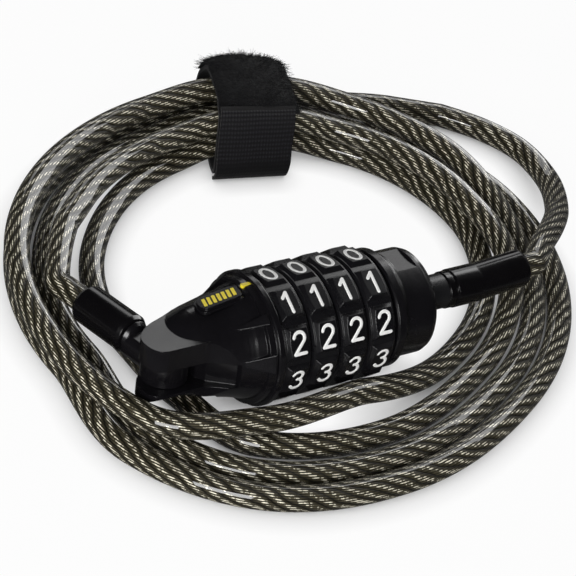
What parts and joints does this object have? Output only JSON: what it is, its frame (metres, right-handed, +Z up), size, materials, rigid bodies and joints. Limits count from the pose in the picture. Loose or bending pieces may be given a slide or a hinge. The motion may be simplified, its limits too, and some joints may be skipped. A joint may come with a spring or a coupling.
{
  "type": "laptop cable lock",
  "caption": "Combination cable lock: turning number wheels, a sliding bolt, a hinged cable end, and a jacketed cable coiled and held by a hook-and-loop strap.",
  "frame": {"origin": "on the floor, under the middle of the rigid lock from the nose of its fork to the end of its ferrule", "axes": "+X along the lock towards its bolt, +Y to the back, where the coil lies, +Z up"},
  "size_m": [0.1599, 0.1422, 0.031],
  "materials": {
    "moulded_body": "moulded black, semi-gloss",
    "collar": "moulded black, semi-gloss",
    "dial": "moulded black, semi-gloss, with light numbers",
    "brass": "turned",
    "steel": "plain",
    "bolt": "black, semi-gloss",
    "fitting": "black sleeve, semi-gloss",
    "eye": "black cast",
    "cable_jacket": "clear smoke-grey jacket over laid steel strands",
    "hook_and_loop": "woven, matte"
  },
  "bodies": {
    "lock": {"housing": "moulded_body", "end_collar": "collar", "spindle": "brass", "thrust_washer": "steel", "snap_ring": "steel", "hinge_pin": "steel", "cable_coil": "cable_jacket", "cable_hinge_end": "cable_jacket", "strap": "hook_and_loop"},
    "bolt": {"bolt_rod": "bolt", "bolt_ferrule": "fitting", "cable_bolt_end": "cable_jacket"},
    "terminal": {"terminal_eye": "eye", "terminal_sleeve": "fitting"},
    "wheel_1": {"dial_1": "dial", "code_ring_1": "brass"},
    "wheel_2": {"dial_2": "dial", "code_ring_2": "brass"},
    "wheel_3": {"dial_3": "dial", "code_ring_3": "brass"},
    "wheel_4": {"dial_4": "dial", "code_ring_4": "brass"}
  },
  "joints": [
    {"name": "wheel_1_turn", "type": "hinge", "parent": "lock", "child": "wheel_1", "pos_m": [-0.01823, -0.00547, 0.0155], "axis": [1, 0, 0], "continuous": true},
    {"name": "wheel_2_turn", "type": "hinge", "parent": "lock", "child": "wheel_2", "pos_m": [-0.01073, -0.00547, 0.0155], "axis": [1, 0, 0], "continuous": true},
    {"name": "wheel_3_turn", "type": "hinge", "parent": "lock", "child": "wheel_3", "pos_m": [-0.00323, -0.00547, 0.0155], "axis": [1, 0, 0], "continuous": true},
    {"name": "wheel_4_turn", "type": "hinge", "parent": "lock", "child": "wheel_4", "pos_m": [0.00427, -0.00547, 0.0155], "axis": [1, 0, 0], "continuous": true},
    {"name": "bolt_slide", "type": "slide", "parent": "lock", "child": "bolt", "axis": [1, 0, 0], "range_m": [0, 0.04]},
    {"name": "terminal_swing", "type": "hinge", "parent": "lock", "child": "terminal", "pos_m": [-0.04398, -0.00596, 0.01559], "axis": [0, 0.1736, 0.9848], "range_deg": [-34, 3]}
  ]
}
